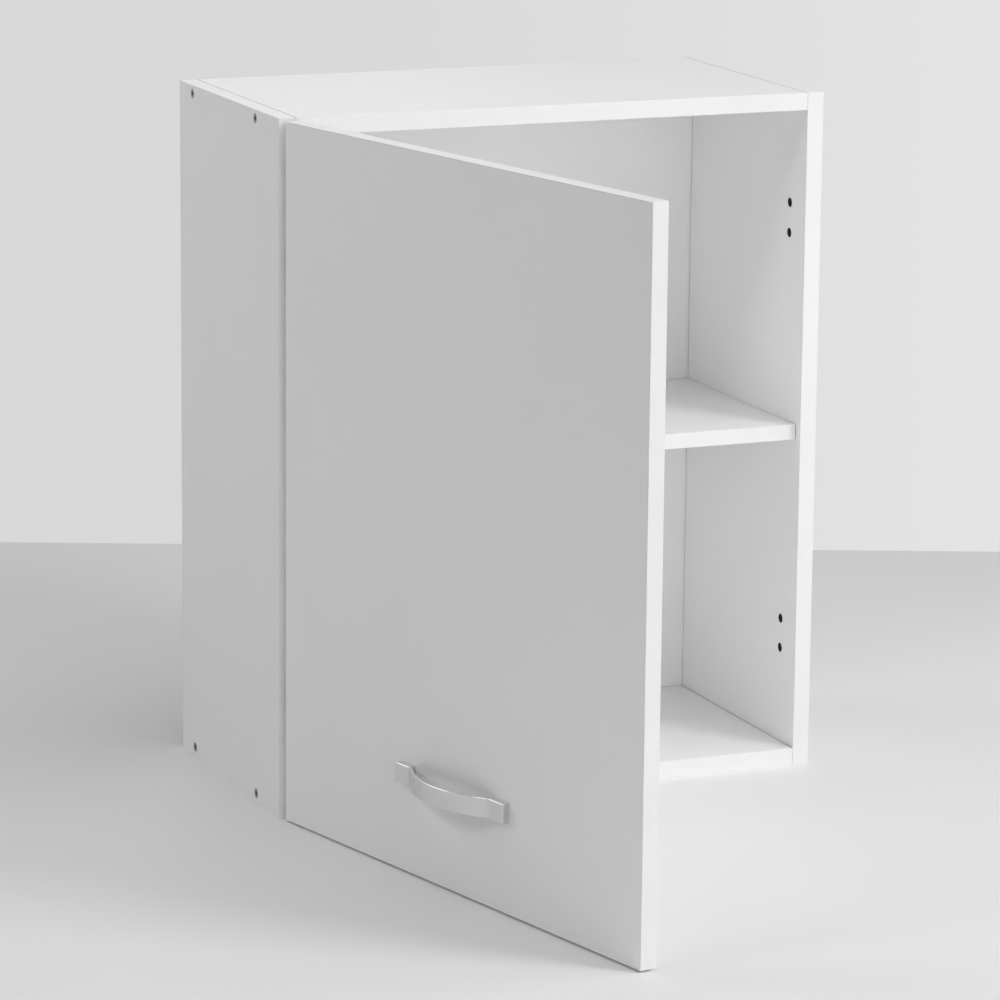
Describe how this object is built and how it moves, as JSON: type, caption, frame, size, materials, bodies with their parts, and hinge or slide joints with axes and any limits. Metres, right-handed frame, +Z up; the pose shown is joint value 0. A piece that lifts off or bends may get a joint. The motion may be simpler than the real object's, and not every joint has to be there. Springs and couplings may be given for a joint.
{
  "type": "kitchen wall cabinet",
  "caption": "White board wall cabinet with a hinged overlay door, inner shelf, recessed back and a bowed metal handle.",
  "frame": {"origin": "middle of the underside of the carcass", "axes": "+Z up; +X to the right seen from the front; +Y towards the wall, so the open front faces -Y; stored as pictured, with the door 77 degrees open"},
  "size_m": [0.6, 0.8923, 0.72],
  "materials": {
    "board": "white melamine-faced chipboard, fine matt grain",
    "back_board": "thin fibreboard, white painted, smooth",
    "edging": "white edge banding, satin",
    "handle_metal": "satin nickel plating",
    "hinge_metal": "nickel-plated pressed steel",
    "steel": "zinc-plated steel",
    "dark_screw": "dark plated steel",
    "dowel": "moulded plastic",
    "bumper": "soft translucent pad"
  },
  "bodies": {
    "carcass": {"left_side_panel": "board", "right_side_panel": "board", "top_panel": "board", "bottom_panel": "board", "back_panel": "back_board", "shelf": "board", "left_side_edge_band": "edging", "right_side_edge_band": "edging", "top_panel_edge_band": "edging", "bottom_panel_edge_band": "edging", "shelf_edge_band": "edging", "left_case_screws": "dark_screw", "right_case_screws": "dark_screw", "shelf_supports": "steel", "left_hanger_plate": "steel", "right_hanger_plate": "steel", "hanger_screws": "steel", "upper_mounting_plate": "hinge_metal", "upper_hinge_arm": "hinge_metal", "lower_mounting_plate": "hinge_metal", "lower_hinge_arm": "hinge_metal", "plate_dowels": "dowel", "plate_screws": "steel", "arm_fixing_screws": "steel", "arm_adjusting_screws": "steel"},
    "door": {"door_panel": "board", "door_hinge_edge_band": "edging", "door_free_edge_band": "edging", "door_lower_edge_band": "edging", "door_upper_edge_band": "edging", "bow_handle": "handle_metal", "handle_screws": "steel", "door_bumpers": "bumper", "upper_hinge_cup": "hinge_metal", "upper_cup_pin": "hinge_metal", "lower_hinge_cup": "hinge_metal", "lower_cup_pin": "hinge_metal", "cup_screws": "steel"},
    "hinge_links": {"upper_hinge_link": "hinge_metal", "upper_arm_pin": "hinge_metal", "lower_hinge_link": "hinge_metal", "lower_arm_pin": "hinge_metal"}
  },
  "joints": [
    {"name": "door_hinge", "type": "hinge", "parent": "carcass", "child": "door", "pos_m": [-0.291, -0.166, 0.36], "axis": [0, 0, -1], "range_deg": [-77, 28]},
    {"name": "link_hinge", "type": "hinge", "parent": "door", "child": "hinge_links", "pos_m": [-0.2841, -0.16697, 0.36], "axis": [0, 0, 1], "range_deg": [-93.17, 33.88]}
  ],
  "couplings": [
    {"joint": "link_hinge", "follows": "door_hinge", "ratio": 1.21}
  ]
}
